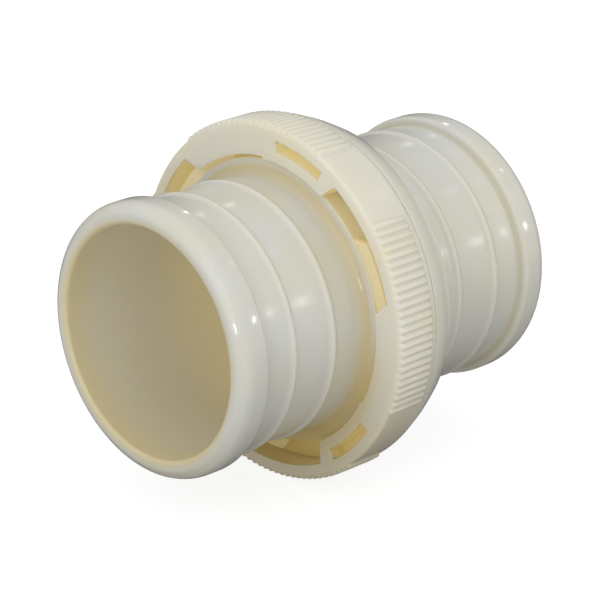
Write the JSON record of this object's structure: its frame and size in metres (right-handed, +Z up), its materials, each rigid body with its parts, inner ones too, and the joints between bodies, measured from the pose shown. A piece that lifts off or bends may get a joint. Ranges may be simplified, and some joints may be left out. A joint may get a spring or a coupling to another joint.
{
  "type": "hose coupling",
  "caption": "In-line quick coupling for layflat water hose: two ribbed hose tails joined by a knurled bayonet collar that twists to lock and draws the halves onto a face seal.",
  "frame": {"origin": "on the axis of the bore, halfway along the coupling, where the collar's rear edge meets the female half's shoulder", "axes": "the bore lies along X with the male half towards -X and the female half towards +X; +Z is up as the coupling lies"},
  "size_m": [0.1174, 0.1016, 0.1016],
  "materials": {
    "male_nylon": "natural ivory nylon, as moulded, glossy and slightly translucent",
    "female_nylon": "natural ivory nylon, as moulded, glossy and slightly translucent",
    "collar_nylon": "natural ivory nylon, as moulded, satin gloss and slightly translucent",
    "ring_acetal": "white acetal",
    "seal_rubber": "black nitrile rubber"
  },
  "bodies": {
    "female_half": {"female_hose_tail": "female_nylon", "face_seal": "seal_rubber"},
    "collar": {"locking_collar": "collar_nylon", "retaining_ring": "ring_acetal"},
    "male_half": {"male_hose_tail": "male_nylon"}
  },
  "joints": [
    {"name": "collar_twist", "type": "hinge", "parent": "female_half", "child": "collar", "pos_m": [-0.0071, 0, 0], "axis": [1, 0, 0], "range_deg": [0, 20.5]},
    {"name": "male_draw", "type": "slide", "parent": "female_half", "child": "male_half", "axis": [-1, 0, 0], "range_m": [0, 0.00103]}
  ],
  "couplings": [
    {"joint": "male_draw", "follows": "collar_twist", "m_per_rad": 0.0028648}
  ]
}
